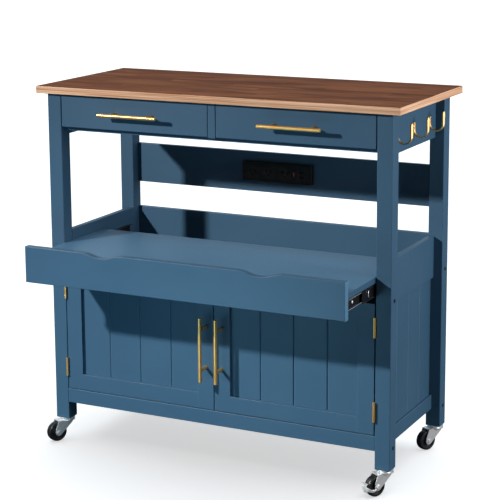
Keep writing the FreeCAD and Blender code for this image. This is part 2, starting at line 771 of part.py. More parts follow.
def door_catch():
    """A double magnetic catch under the rail, behind the two doors' upper corners."""
    low = TOP_RAIL[0]
    near, far = CATCH_DEPTH
    return box(-CATCH_HALF, CATCH_HALF, FRONT_BACK_Y + near, FRONT_BACK_Y + far, low - CATCH_HEIGHT, low)


# ---- inside the cabinet ----
def inner_shelf():
    half = IN_X - SHELF_SIDE_GAP
    y0 = FRONT_BACK_Y + SHELF_FRONT_GAP
    return box(-half, half, y0, BACK_Y - SHELF_BACK_GAP, SHELF_BOTTOM, SHELF_BOTTOM + BOARD)


def shelf_pins():
    """Four round pins in the legs that the shelf lies on."""
    z = SHELF_BOTTOM - SHELF_PIN_RADIUS
    pins = []
    for side in SIDES.values():
        for y in SHELF_PIN_Y:
            pins.append(rod(V(side * IN_X, y, z), V(-side, 0, 0), SHELF_PIN_LENGTH, SHELF_PIN_RADIUS))
    return group(pins)


# ---- casters ----
def caster_place(side, end, shape):
    """Turns a caster piece to the way it trails and sets it under a leg."""
    turned = shape.copy()
    turned.rotate(V(0, 0, 0), Z_AXIS, TRAIL_TURN)
    turned.translate(V(side * (OUT_X - LEG / 2), end * (OUT_Y - LEG / 2), 0))
    return turned


def caster_stem():
    """The fixed top plate, upper race and king pin with its head."""
    steps = [rod(V(0, 0, low), Z_AXIS, high - low, radius) for low, high, radius in STEM_STEPS]
    return steps[0].fuse(steps[1:]).removeSplitter()


def caster_stems():
    stem = caster_stem()
    return group([caster_place(s, e, stem) for e in (-1, 1) for s in (-1, 1)])


def fork_cheek(y):
    """One side plate of the fork, from the crown down to the axle."""
    cheek = plate([V(x, y, z) for x, z in CHEEK_OUTLINE], Y_AXIS, FORK_SHEET)
    return cheek.fuse(rod(V(-TRAIL, y, WHEEL_RADIUS), Y_AXIS, FORK_SHEET, FORK_BOSS))


def axle(half):
    """The axle with a flat head outside each cheek or lever arm."""
    middle = V(-TRAIL, 0, WHEEL_RADIUS)
    shaft = rod(middle - Y_AXIS * half, Y_AXIS, 2 * half, AXLE_RADIUS)
    starts = (half, -half - AXLE_HEAD_HEIGHT)
    heads = [rod(middle + Y_AXIS * y, Y_AXIS, AXLE_HEAD_HEIGHT, AXLE_HEAD) for y in starts]
    return shaft.fuse(heads).removeSplitter()


def caster_fork(axle_half):
    """The swivelling fork with its lower race and its axle."""
    low, high = CROWN
    width = FORK_INNER + FORK_SHEET
    race_radius, race_bore, race_height = RACE
    crown = rod(V(0, 0, low), Z_AXIS, high - low, CROWN_RADIUS)
    bridge = box(FORK_BACK, 0, -width, width, low, high)
    race = tube(V(0, 0, high), Z_AXIS, race_height, race_radius, race_bore)
    body = crown.fuse([bridge, race, fork_cheek(FORK_INNER), fork_cheek(-width)]).removeSplitter()
    thickness = high - low + 2 * OVERCUT
    body = body.cut(rod(V(0, 0, low - OVERCUT), Z_AXIS, thickness, KING_PIN + RUNNING))
    start = V(-TRAIL, -width - OVERCUT, WHEEL_RADIUS)
    hole = rod(start, Y_AXIS, 2 * (width + OVERCUT), AXLE_RADIUS)
    return group([body.cut(hole), axle(axle_half)])


def caster_wheel():
    """A solid wheel: rounded tread, dished sides and a hub bored to run on the axle."""
    half = WHEEL_WIDTH / 2
    side = [
        (AXLE_RADIUS + RUNNING, HUB_HALF),
        (HUB[0], HUB_HALF),
        (HUB[1], DISH_HALF),
        (RIM[0], DISH_HALF),
        (RIM[1], half),
        (TREAD_SIDE, half),
        (WHEEL_RADIUS, half - TREAD_CORNER),
    ]
    profile = [V(x, -y, 0) for x, y in side] + [V(x, y, 0) for x, y in reversed(side)]
    face = Part.Face(Part.makePolygon(profile + [profile[0]]))
    wheel = face.revolve(V(0, 0, 0), Y_AXIS, 360)
    wheel.translate(V(-TRAIL, 0, WHEEL_RADIUS))
    return wheel


def turned(angle, radius):
    """A step from the axle's middle, upwards from the direction ahead of it."""
    a = math.radians(angle)
    return V(radius * math.cos(a), 0, radius * math.sin(a))


def lever_strip():
    """A curved strip behind the wheel, as wide as the lever."""
    reach = LEVER_INNER + LEVER_SHEET
    inner, outer = LEVER_BAND
    first, last = LEVER_SPAN
    centre = V(-TRAIL, -reach, WHEEL_RADIUS)
    ring = tube(centre, Y_AXIS, 2 * reach, outer, inner)
    corners = [centre + turned(angle, 2 * outer) for angle in (first, (first + last) / 2, last)]
    return ring.common(plate([centre] + corners, Y_AXIS, 2 * reach))


def lever_cheek(y):
    """A side arm of the brake lever, from its eye on the axle to the strip behind the wheel."""
    centre = V(-TRAIL, y, WHEEL_RADIUS)
    eye = V(0, 0, LEVER_EYE)
    corners = [centre + turned(angle, LEVER_ARM) for angle in LEVER_ARM_ANGLES]
    arm = plate([centre + eye] + corners + [centre - eye], Y_AXIS, LEVER_SHEET)
    return arm.fuse(rod(centre, Y_AXIS, LEVER_SHEET, LEVER_EYE))


def brake_lever():
    """A foot lever that turns on the axle and wraps round the trailing side of the wheel."""
    inner, outer = LEVER_BAND
    root = V(-TRAIL, -PEDAL_HALF, WHEEL_RADIUS) + turned(LEVER_SPAN[0], outer)
    pedal = plate([root + V(x, 0, z) for x, z in PEDAL_OUTLINE], Y_AXIS, 2 * PEDAL_HALF)
    cheeks = [lever_cheek(LEVER_INNER), lever_cheek(-LEVER_INNER - LEVER_SHEET)]
    body = lever_strip().fuse([pedal] + cheeks)
    start = V(-TRAIL, -LEVER_INNER, WHEEL_RADIUS)
    body = body.cut(rod(start, Y_AXIS, 2 * LEVER_INNER, inner))
    reach = LEVER_INNER + LEVER_SHEET + OVERCUT
    hole = rod(V(-TRAIL, -reach, WHEEL_RADIUS), Y_AXIS, 2 * reach, AXLE_RADIUS + RUNNING)
    return body.cut(hole).removeSplitter()


def write_frame():
    save("worktop", worktop())
    for end_name, end in (("front", -1), ("rear", 1)):
        for side_name, side in SIDES.items():
            save("leg_%s_%s" % (end_name, side_name), leg(side, end))
    save("leg_screws", leg_screws())
    save("apron_rear", rear_apron())
    save("drawer_divider", drawer_divider())
    save("drawer_lower_rail", drawer_lower_rail())
    save("drawer_runners", drawer_runners())
    save("bottom_rails", bottom_rails())
    save("cabinet_floor", cabinet_floor())
    save("gallery_back", gallery_back())
    save("back_panel", back_panel())
    save("outlet_rail", outlet_rail())
    save("power_strip", power_strip())
    save("power_sockets", power_sockets())
    save("side_hooks", group([hook(y) for y in HOOK_Y]))
    save("hook_screws", hook_screws())
    save("slide_outer_members", slide_outer_members())
    save("hinge_frame_leaves", hinge_frame_leaves())
    save("door_catch", door_catch())
    save("inner_shelf", inner_shelf())
    save("shelf_pins", shelf_pins())
    for side_name, side in SIDES.items():
        save("apron_%s" % side_name, side_apron(side))
        save("side_board_%s" % side_name, side_board(side))
        save("side_panel_%s" % side_name, side_panel(side))


def write_tray():
    save("tray_front", tray_front())
    save("tray_deck", tray_deck())
    save("tray_sides", tray_sides())
    save("slide_inner_members", slide_inner_members())
    save("slide_middle_members", slide_middle_members())


def write_drawers_and_doors():
    for side_name, side in SIDES.items():
        save("drawer_front_%s" % side_name, drawer_front(side))
        save("drawer_box_%s" % side_name, drawer_box(side))
        save("drawer_pull_%s" % side_name, drawer_pull(side))
        save("door_frame_%s" % side_name, door_frame(side))
        save("door_panel_%s" % side_name, door_panel(side))
        save("door_pull_%s" % side_name, door_pull(side))
        save("door_hardware_%s" % side_name, door_hardware(side))


def write_casters():
    save("caster_stems", caster_stems())
    for name, (side, end) in CASTERS.items():
        braked = name in BRAKED
        grip = LEVER_INNER + LEVER_SHEET if braked else FORK_INNER + FORK_SHEET
        save("caster_fork_%s" % name, caster_place(side, end, caster_fork(grip + AXLE_SPARE)))
        save("caster_wheel_%s" % name, caster_place(side, end, caster_wheel()))
        if braked:
            save("brake_lever_%s" % name, caster_place(side, end, brake_lever()))


os.makedirs("parts", exist_ok=True)
write_frame()
write_tray()
write_drawers_and_doors()
write_casters()
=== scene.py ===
"""The finish of a kitchen island cart: paint, wood, brass and steel, the small pieces of its tray
slides and casters, and the studio it stands in. Lengths are metres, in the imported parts' frame.
"""

import json
import math

import bmesh
import bpy
import numpy as np
from mathutils import Matrix, Vector


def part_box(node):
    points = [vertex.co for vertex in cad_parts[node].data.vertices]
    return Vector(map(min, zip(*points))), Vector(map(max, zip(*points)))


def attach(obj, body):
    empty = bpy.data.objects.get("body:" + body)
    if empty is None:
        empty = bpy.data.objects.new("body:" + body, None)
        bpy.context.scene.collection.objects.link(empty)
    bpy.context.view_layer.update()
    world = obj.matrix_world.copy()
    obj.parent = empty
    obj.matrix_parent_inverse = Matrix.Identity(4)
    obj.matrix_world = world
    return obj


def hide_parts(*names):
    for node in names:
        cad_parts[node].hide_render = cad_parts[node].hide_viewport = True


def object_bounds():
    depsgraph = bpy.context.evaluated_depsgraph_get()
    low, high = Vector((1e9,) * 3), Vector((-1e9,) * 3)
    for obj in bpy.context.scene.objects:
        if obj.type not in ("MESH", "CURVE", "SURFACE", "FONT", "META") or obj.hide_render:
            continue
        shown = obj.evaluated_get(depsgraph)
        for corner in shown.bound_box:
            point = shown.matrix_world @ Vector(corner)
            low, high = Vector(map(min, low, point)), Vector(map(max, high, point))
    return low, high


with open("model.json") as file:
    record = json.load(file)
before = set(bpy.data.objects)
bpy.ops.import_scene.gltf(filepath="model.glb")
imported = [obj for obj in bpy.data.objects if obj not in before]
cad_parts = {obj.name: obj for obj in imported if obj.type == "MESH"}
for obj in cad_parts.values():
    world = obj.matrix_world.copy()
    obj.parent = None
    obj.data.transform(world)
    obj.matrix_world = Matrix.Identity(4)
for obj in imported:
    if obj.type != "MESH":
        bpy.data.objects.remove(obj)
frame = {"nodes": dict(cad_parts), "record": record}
NODES = frame["nodes"]
SLOT_OF = {part["node"]: part["material_slot"] for part in frame["record"]["subparts"]}
JOINTS = {joint["name"]: joint for joint in frame["record"]["behaviour"]["joints"]}
cad_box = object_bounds()

MM = 0.001
TURN = 2 * math.pi
CORNERS = ("front_left", "front_right", "rear_left", "rear_right")


# ---- camera ----
CAMERA_PLACE = (1.7262, -3.3963, 1.4059)
CAMERA_YAW = 0.460
CAMERA_PITCH = 0.182
CAMERA_ROLL = -0.006
CAMERA_LENS = 114.9
CAMERA_SENSOR = 36.0
CAMERA_SHIFT_Y = -0.15


def aim(place, yaw, pitch, roll):
    """A camera's matrix: yaw is to the left, pitch is down, and roll is about its own axis."""
    flat = math.cos(pitch)
    forward = Vector((-math.sin(yaw) * flat, math.cos(yaw) * flat, -math.sin(pitch)))
    level = Vector((math.cos(yaw), math.sin(yaw), 0))
    above = level.cross(forward)
    right = level * math.cos(roll) + above * math.sin(roll)
    up = above * math.cos(roll) - level * math.sin(roll)
    matrix = Matrix((right, up, -forward)).transposed().to_4x4()
    matrix.translation = place
    return matrix


def add_camera():
    camera = bpy.data.objects.new("camera", bpy.data.cameras.new("camera"))
    camera.data.sensor_width = CAMERA_SENSOR
    camera.data.lens = CAMERA_LENS
    camera.data.shift_y = CAMERA_SHIFT_Y
    camera.matrix_world = aim(CAMERA_PLACE, CAMERA_YAW, CAMERA_PITCH, CAMERA_ROLL)
    bpy.context.scene.collection.objects.link(camera)
    bpy.context.scene.camera = camera


# ---- shader maths ----
class Term:
    """A number socket that can be used in an expression."""

    def __init__(self, tree, socket):
        self.tree = tree
        self.socket = socket

    def maths(self, operation, other=None, turned=False):
        node = self.tree.nodes.new("ShaderNodeMath")
        node.operation = operation
        values = (other, self) if turned else (self, other)
        for slot, value in zip(node.inputs, values):
            put(self.tree, slot, value)
        return Term(self.tree, node.outputs[0])

    def __add__(self, other):
        return self.maths("ADD", other)

    def __radd__(self, other):
        return self.maths("ADD", other)

    def __rsub__(self, other):
        return self.maths("SUBTRACT", other, turned=True)

    def __mul__(self, other):
        return self.maths("MULTIPLY", other)

    def __truediv__(self, other):
        return self.maths("DIVIDE", other)

    def floor(self):
        return self.maths("FLOOR")

    def sine(self):
        return self.maths("SINE")

    def ramp(self, low, high):
        """0 below low and 1 above high, straight between them."""
        node = self.tree.nodes.new("ShaderNodeMapRange")
        put(self.tree, node.inputs["Value"], self)
        node.inputs["From Min"].default_value = low
        node.inputs["From Max"].default_value = high
        return Term(self.tree, node.outputs["Result"])


def put(tree, slot, value):
    """Sets a socket to a value, or links it to a Term or another socket."""
    if value is None:
        return
    if isinstance(value, Term):
        tree.links.new(value.socket, slot)
    elif isinstance(value, bpy.types.NodeSocket):
        tree.links.new(value, slot)
    elif slot.type == "RGBA" and len(value) == 3:
        slot.default_value = (*value, 1.0)
    else:
        slot.default_value = value


BEVEL_SAMPLES = 4


class Finish:
    """One material and the nodes in it."""

    def __init__(self, name):
        self.material = bpy.data.materials.new(name)
        self.material.use_nodes = True
        self.tree = self.material.node_tree
        self.shader = self.tree.nodes["Principled BSDF"]
        self.place = self.node("ShaderNodeTexCoord").outputs["Object"]

    def node(self, kind, settings=(), **values):
        """A node of one type: its settings, then its sockets by name, with _ for a space."""
        made = self.tree.nodes.new(kind)
        for key, value in dict(settings).items():
            setattr(made, key, value)
        for key, value in values.items():
            put(self.tree, made.inputs[key.replace("_", " ")], value)
        return made

    def term(self, socket):
        return Term(self.tree, socket)

    def axes(self):
        """The three Object coordinates as numbers."""
        split = self.node("ShaderNodeSeparateXYZ", Vector=self.place)
        return [self.term(split.outputs[n]) for n in range(3)]

    def joined(self, x, y, z):
        return self.node("ShaderNodeCombineXYZ", X=x, Y=y, Z=z).outputs[0]

    def stretched(self, scale):
        """Object coordinates scaled along each axis, for a grain."""
        return self.node("ShaderNodeMapping", Vector=self.place, Scale=scale).outputs[0]

    def noise(self, vector, scale, detail, roughness=0.5):
        made = self.node(
            "ShaderNodeTexNoise", Vector=vector, Scale=scale, Detail=detail, Roughness=roughness
        )
        return self.term(made.outputs["Fac"])

    def random(self, vector):
        made = self.node("ShaderNodeTexWhiteNoise", {"noise_dimensions": "3D"}, Vector=vector)
        return self.term(made.outputs["Value"])

    def mix(self, factor, first, second):
        """A colour between two colours."""
        made = self.node("ShaderNodeMix", {"data_type": "RGBA"})
        put(self.tree, made.inputs[0], factor)
        put(self.tree, made.inputs[6], first)
        put(self.tree, made.inputs[7], second)
        return made.outputs[2]

    def rounded(self, radius):
        """The surface's direction with its edges rounded."""
        return self.node("ShaderNodeBevel", {"samples": BEVEL_SAMPLES}, Radius=radius).outputs[0]

    def turned(self, normal):
        """How far a rounded direction is turned from the flat one: 1 less their dot product."""
        flat = self.node("ShaderNodeNewGeometry").outputs["Normal"]
        dot = self.node("ShaderNodeVectorMath", {"operation": "DOT_PRODUCT"})
        put(self.tree, dot.inputs[0], normal)
        put(self.tree, dot.inputs[1], flat)
        return 1 - self.term(dot.outputs["Value"])

    def bump(self, height, depth, normal=None):
        made = self.node("ShaderNodeBump", Height=height, Distance=depth, Normal=normal)
        return made.outputs[0]

    def finish(self, **values):
        """Sets the shader's sockets by name."""
        for key, value in values.items():
            put(self.tree, self.shader.inputs[key.replace("_", " ")], value)
        return self.material


# ---- finishes ----
BLUE = ((0.038, 0.099, 0.168), (0.046, 0.110, 0.184))
# Paler blues for the edges: a painted highlight along rounded edges and plank grooves, with a
# little worn paint.
BLUE_EDGE_HIGHLIGHT = (0.18, 0.31, 0.43)
PLANK_EDGE_HIGHLIGHT = (0.30, 0.45, 0.56)
STAVE_WIDTH = 46 * MM
STAVE_LENGTH = 0.42
WALNUT = ((0.066, 0.016, 0.005), (0.33, 0.100, 0.032))
WALNUT_PATCH = (0.46, 0.175, 0.070)
WALNUT_STAVE = (0.24, 0.075, 0.026)
WALNUT_PORE = (0.045, 0.016, 0.008)
EDGE_BAND = ((0.50, 0.245, 0.13), (0.95, 0.62, 0.42))
PINE = ((0.64, 0.46, 0.27), (0.50, 0.32, 0.16))
PINE_PORE = (0.36, 0.22, 0.11)
BRASS = ((0.89, 0.46, 0.12), (0.97, 0.57, 0.18))
# Pale cream for the painted highlight on the brass edges.
BRASS_EDGE_HIGHLIGHT = (1.0, 0.84, 0.55)
RUBBER = (0.010, 0.010, 0.011)
DUST = (0.12, 0.11, 0.10)
ZINC = ((0.86, 0.87, 0.88), (0.97, 0.97, 0.97))
STEEL = ((0.80, 0.80, 0.80), (0.95, 0.95, 0.95))
AMBER = ((0.16, 0.035, 0.006), (0.26, 0.07, 0.012))
AMBER_GLOW = (1.0, 0.25, 0.03)
# Each coat's colour, roughness, grain size and colour where its edges are rubbed.
COATS = {
    "black_steel": ((0.006, 0.006, 0.007), 0.26, 1500.0, (0.45, 0.47, 0.50)),
    "black_plastic": ((0.003, 0.003, 0.003), 0.42, 2200.0, (0.05, 0.05, 0.05)),
    "socket_plastic": ((0.005, 0.0045, 0.004), 0.30, 2600.0, (0.06, 0.06, 0.06)),
    "dark_leg_screws": ((0.010, 0.022, 0.035), 0.34, 1500.0, (0.05, 0.09, 0.13)),
}


def painted_board(name, gain, edge_highlight_share, edge_colour):
    """Satin paint over smooth board: cloudy colour, faint roller texture, and rounded edges made
    paler by a painted highlight, with a little worn paint.
    """
    f = Finish(name)
    cloud = f.noise(f.place, 5.0, 3.0)
    fine = f.noise(f.place, 900.0, 2.0)
    scuff = f.noise(f.stretched((14.0, 14.0, 3.0)), 9.0, 4.0, 0.6)
    normal = f.rounded(1.8 * MM)
    edge = f.turned(normal)
    body = f.mix(cloud.ramp(0.3, 0.7), *BLUE)
    return f.finish(
        # The edge mask mixes in a paler blue: a painted highlight on the rounded edges, with a
        # little worn paint.
        Base_Color=f.mix((edge * gain).ramp(0.0, 1.0) * edge_highlight_share, body, edge_colour),
        Roughness=0.36 + scuff * 0.10 + cloud * 0.04,
        Normal=f.bump(fine, 0.05 * MM, normal),
        Specular_IOR_Level=0.30,
    )


def walnut_top():
    """A top of staves in browns, with a pale edge band whose layers run along it."""
    f = Finish("worktop_wood")
    x, y, z = f.axes()
    row = (y / STAVE_WIDTH).floor()
    shift = f.random(f.joined(row, 3.0, 7.0))
    stave = (x / STAVE_LENGTH + shift * 5.0).floor()
    tone = f.random(f.joined(stave, row, 1.0))
    streak = f.noise(f.joined(x * 2.4 + tone * 9.0, y * 60.0, z), 1.0, 5.0, 0.62)
    pore = f.noise(f.joined(x * 30.0, y * 900.0, z), 1.0, 2.0)
    grain = f.mix(streak.ramp(0.30, 0.70), *WALNUT)
    patch = f.noise(f.joined(x * 3.2 + tone * 5.0, y * 16.0, z), 1.0, 4.0, 0.6)
    tinted = f.mix(patch.ramp(0.44, 0.66) * 0.75, grain, WALNUT_PATCH)
    plank = f.mix(tone * 0.45, tinted, WALNUT_STAVE)
    face = f.mix(pore.ramp(0.62, 0.80) * 0.45, plank, WALNUT_PORE)
    layer = f.noise(f.joined(x * 5.0, y * 5.0, z * 420.0), 1.0, 3.0)
    band = f.mix(layer.ramp(0.32, 0.68), *EDGE_BAND)
    flat = f.node("ShaderNodeNewGeometry").outputs["Normal"]
    upright = f.node("ShaderNodeSeparateXYZ", Vector=flat).outputs["Z"]
    top = f.term(upright).ramp(0.55, 0.85)
    return f.finish(
        Base_Color=f.mix(top, band, face),
        Roughness=0.34 + streak * 0.10 + (1 - top) * 0.15,
        Normal=f.bump(streak + pore * 0.4, 0.05 * MM, f.rounded(1.0 * MM)),
        Specular_IOR_Level=0.003,
    )


def bare_wood():
    """Planed pine with growth rings running along the drawer."""
    f = Finish("bare_wood")
    x, y, z = f.axes()
    wave = f.noise(f.joined(x * 14.0, y * 1.6, z * 40.0), 1.0, 4.0, 0.6)
    ring = ((wave * 26.0).sine() + 1.0) * 0.5
    pore = f.noise(f.joined(x * 500.0, y * 24.0, z * 500.0), 1.0, 2.0)
    wood = f.mix(ring * 0.5, *PINE)
    return f.finish(
        Base_Color=f.mix(pore.ramp(0.6, 0.8) * 0.3, wood, PINE_PORE),
        Roughness=0.55 + pore * 0.15,
        Normal=f.bump(pore, 0.08 * MM, f.rounded(0.8 * MM)),
    )


def satin_brass():
    """Brushed brass: fine scratches, a clouded tint and a painted highlight on the edges."""
    f = Finish("brass")
    brush = f.noise(f.stretched((900.0, 900.0, 120.0)), 1.0, 2.0)
    tint = f.noise(f.place, 60.0, 3.0)
    normal = f.rounded(0.5 * MM)
    edge = f.turned(normal)
    colour = f.mix(tint.ramp(0.3, 0.7), *BRASS)
    return f.finish(
        # Rounded edges are mixed towards pale cream: a painted highlight.
        Base_Color=f.mix(edge.ramp(0.02, 0.4) * 0.5, colour, BRASS_EDGE_HIGHLIGHT),
        Metallic=0.72,
        Roughness=0.24 + brush * 0.12,
        Normal=f.bump(brush, 0.01 * MM, normal),
    )


def dark_coat(name):
    """A dark coat or moulding with a fine grain and rubbed edges."""
    colour, roughness, grain, edge_colour = COATS[name]
    f = Finish(name)
    fine = f.noise(f.place, grain, 2.0)
    smear = f.noise(f.place, 40.0, 3.0)
    normal = f.rounded(0.5 * MM)
    edge = f.turned(normal)
    return f.finish(
        Base_Color=f.mix(edge.ramp(0.03, 0.5) * 0.6 + smear * 0.02, colour, edge_colour),
        Roughness=roughness + smear * 0.12,
        Normal=f.bump(fine, 0.03 * MM, normal),
        Specular_IOR_Level=0.25,
    )


def wheel_rubber():
    """Hard black rubber with a fine grain and a little floor dust."""
    f = Finish("wheel_rubber")
    dust = f.noise(f.place, 120.0, 4.0, 0.6)
    fine = f.noise(f.place, 1400.0, 2.0)
    return f.finish(
        Base_Color=f.mix(dust.ramp(0.5, 0.8) * 0.12, RUBBER, DUST),
        Roughness=0.30 + dust * 0.15,
        Normal=f.bump(fine, 0.03 * MM, f.rounded(0.6 * MM)),
    )


def zinc_plate():
    """Bright zinc plate: clouded, lightly brushed."""
    f = Finish("zinc")
    cloud = f.noise(f.place, 90.0, 4.0, 0.6)
    brush = f.noise(f.stretched((1200.0, 200.0, 1200.0)), 1.0, 2.0)
    return f.finish(
        Base_Color=f.mix(cloud.ramp(0.3, 0.7), *ZINC),
        Metallic=0.55,
        Roughness=0.22 + cloud * 0.14 + brush * 0.05,
        Normal=f.bump(brush, 0.01 * MM, f.rounded(0.5 * MM)),
    )


def bright_steel():
    """Polished steel for balls and screws, faintly brushed."""
    f = Finish("bright_steel")
    brush = f.noise(f.place, 1500.0, 2.0)
    return f.finish(
        Base_Color=f.mix(brush, *STEEL),
        Metallic=0.6,
        Roughness=0.20 + brush * 0.12,
        Normal=f.bump(brush, 0.01 * MM),
    )


def signal_lens():
    """A dull amber window that glows dimly."""
    f = Finish("signal_lens")
    cloud = f.noise(f.place, 700.0, 2.0)
    return f.finish(
        Base_Color=f.mix(cloud, *AMBER),
        Roughness=0.30 + cloud * 0.2,
        Emission_Color=AMBER_GLOW,
        Emission_Strength=0.10,
    )


def finishes():
    return {
        "blue_paint": painted_board("blue_paint", 2.2, 0.55, BLUE_EDGE_HIGHLIGHT),
        "worktop_wood": walnut_top(),
        "bare_wood": bare_wood(),
        "brass": satin_brass(),
        "black_steel": dark_coat("black_steel"),
        "black_plastic": dark_coat("black_plastic"),
        "socket_plastic": dark_coat("socket_plastic"),
        "wheel_rubber": wheel_rubber(),
        "zinc": zinc_plate(),
    }


def dress_nodes(materials):
    """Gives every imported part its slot's finish, and the side panels and leg screws their own."""
    for name, part in NODES.items():
        part.data.materials.clear()
        part.data.materials.append(materials[SLOT_OF[name]])
    # The side panels' plank edges and grooves get a stronger painted highlight.
    planks = painted_board("blue_paint_planks", 5.0, 0.85, PLANK_EDGE_HIGHLIGHT)
    for name in ("side_panel_left", "side_panel_right"):
        NODES[name].data.materials[0] = planks
    # The leg screws are coloured a dark blue, far darker than bare zinc.
    NODES["leg_screws"].data.materials[0] = dark_coat("dark_leg_screws")


# ---- surfaces ----
def skin(name, points, looped, material, body, sharp=40):
    """A piece from a grid of points: copies x rows x columns.

    Each row is a ring whose ends meet. Each row is joined to the next by quads, and the last to
    the first if looped. Otherwise a flat cap closes the first and the last row.
    """
    index = np.arange(points[..., 0].size).reshape(points.shape[:3])
    low = index if looped else index[:, :-1]
    high = np.roll(index, -1, axis=1) if looped else index[:, 1:]
    quads = np.stack([low, np.roll(low, -1, axis=2), np.roll(high, -1, axis=2), high], axis=-1)
    faces = quads.reshape(-1, 4).tolist()
    if not looped:
        faces += index[:, 0].tolist() + index[:, -1].tolist()
    mesh = bpy.data.meshes.new(name)
    mesh.from_pydata(points.reshape(-1, 3), [], faces)
    shape = bmesh.new()
    shape.from_mesh(mesh)
    bmesh.ops.recalc_face_normals(shape, faces=shape.faces)
    shape.to_mesh(mesh)
    shape.free()
    mesh.polygons.foreach_set("use_smooth", np.ones(len(mesh.polygons), dtype=bool))
    mesh.set_sharp_from_angle(angle=math.radians(sharp))
    mesh.materials.append(material)
    piece = bpy.data.objects.new(name, mesh)
    bpy.context.scene.collection.objects.link(piece)
    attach(piece, body)
    return piece


def smooth_step(value, low, high):
    """0 below low, 1 above high, and 3t^2 - 2t^3 between, with t the part of the way."""
    t = np.clip((value - low) / (high - low), 0, 1)
    return t * t * (3 - 2 * t)


def lathe(radii, heights, columns, centre, axis):
    """Rings about an axis through a centre: centre + r (cos u, sin u) across it + h along it."""
    axis = np.array(axis) / np.linalg.norm(axis)
    first = np.cross(axis, (0.0, 0.0, 1.0)) if abs(axis[2]) < 0.9 else np.array((1.0, 0.0, 0.0))
    second = np.cross(axis, first)
    angle = np.linspace(0, TURN, columns, endpoint=False)
    ring = np.cos(angle)[:, None] * first + np.sin(angle)[:, None] * second
    radii = np.asarray(radii)[:, None, None]
    heights = np.asarray(heights)[:, None, None]
    return np.asarray(centre) + radii * ring + heights * axis


# ---- wheels ----
WHEEL_BORE = 3.2 * MM
WHEEL_HUB = 10.4 * MM
WHEEL_DISH = 6.2 * MM
WHEEL_SIDE = 8.9 * MM
WHEEL_SHOULDER = 22.4 * MM
WHEEL_OUT = 25.0 * MM
WHEEL_HUB_EDGE = (6.9 * MM, 8.6 * MM)
WHEEL_RIM_EDGE = (17.6 * MM, 19.4 * MM)
WHEEL_RINGS = (11.5 * MM, 14.5 * MM)
RING_RISE = 0.55 * MM
RING_SPREAD = 0.45 * MM


def wheel_profile():
    """Radius and width of half a wheel, bore to tread.

    Beside the wheel the width steps smoothly from hub to dish to rim, with a small bell curve for
    each raised ring. The tread is a superellipse of power 3 from the shoulder to the middle.
    """
    radius = np.linspace(WHEEL_BORE, WHEEL_SHOULDER, 90)
    width = WHEEL_HUB - (WHEEL_HUB - WHEEL_DISH) * smooth_step(radius, *WHEEL_HUB_EDGE)
    width += (WHEEL_SIDE - WHEEL_DISH) * smooth_step(radius, *WHEEL_RIM_EDGE)
    for ring in WHEEL_RINGS:
        width += RING_RISE * np.exp(-(((radius - ring) / RING_SPREAD) ** 2))
    turn = np.linspace(math.pi / 2, 0, 18)[1:]
    tread = WHEEL_SHOULDER + (WHEEL_OUT - WHEEL_SHOULDER) * np.cos(turn) ** (2 / 3)
    tread_width = WHEEL_SIDE * np.sin(turn) ** (2 / 3)
    return np.concatenate([radius, tread]), np.concatenate([width, tread_width])


def add_wheels(material):
    """Each wheel is its half profile and the mirror of it, turned about the axle."""
    radius, width = wheel_profile()
    radii = np.concatenate([radius, radius[-2::-1]])
    widths = np.concatenate([width, -width[-2::-1]])
    for corner in CORNERS:
        joint = JOINTS["wheel_spin_" + corner]
        rings = lathe(radii, widths, 72, joint["pos_m"], joint["axis"])
        body = "wheel_" + corner
        wheel = skin(body, rings[None], True, material, body)
        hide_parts("caster_wheel_" + corner)


# ---- brake levers ----
LEVER_REACH = 28.3 * MM
LEVER_HALF = 14.1 * MM
LEVER_SHEET = 0.7 * MM
EYE_BORE = 3.2 * MM
EYE_OUT = 6.4 * MM
YOKE_DIP = 5.0 * MM
YOKE_DROP = 1.5 * MM
PEDAL_ARC = (204, 160)
PEDAL_TIP = (-6.0 * MM, 0, 3.4 * MM)


def band(path, across, half_width):
    """A strip of sheet along a path: each ring is a superellipse of power 4, half_width wide."""
    ahead = np.gradient(path, axis=0)
    facing = np.cross(ahead, across)
    facing /= np.linalg.norm(facing, axis=1, keepdims=True)
    angle = np.linspace(0, TURN, 24, endpoint=False)
    reach = (np.cos(angle) ** 4 + np.sin(angle) ** 4) ** (-1 / 4)
    wide = (reach * np.cos(angle))[None, :, None] * half_width[:, None, None] * np.asarray(across)
    thick = (reach * np.sin(angle))[None, :, None] * LEVER_SHEET * facing[:, None, :]
    return path[:, None, :] + wide + thick


def yoke():
    """The strip round the back of the wheel, from eye to eye.

    From above it is |x/a|^5 + |y/b|^5 = 1. Its height dips by half a sine wave between the axle and
    the back, and it widens smoothly towards the back.
    """
    part = 0.002 + 0.996 * smooth_step(np.linspace(0, 1, 110), 0.0, 1.0)
    turn = math.pi * (part - 0.5)
    x = -LEVER_REACH * np.cos(turn) ** 0.4
    y = LEVER_HALF * np.sign(np.sin(turn)) * np.abs(np.sin(turn)) ** 0.4
    back = -x / LEVER_REACH
    z = -YOKE_DIP * np.sin(math.pi * np.clip(back, 0, 1)) - YOKE_DROP
    half = 3.0 * MM + 1.6 * MM * smooth_step(back, 0.55, 1.0)
    return band(np.stack([x, y, z], axis=-1), (0, 0, 1), half)


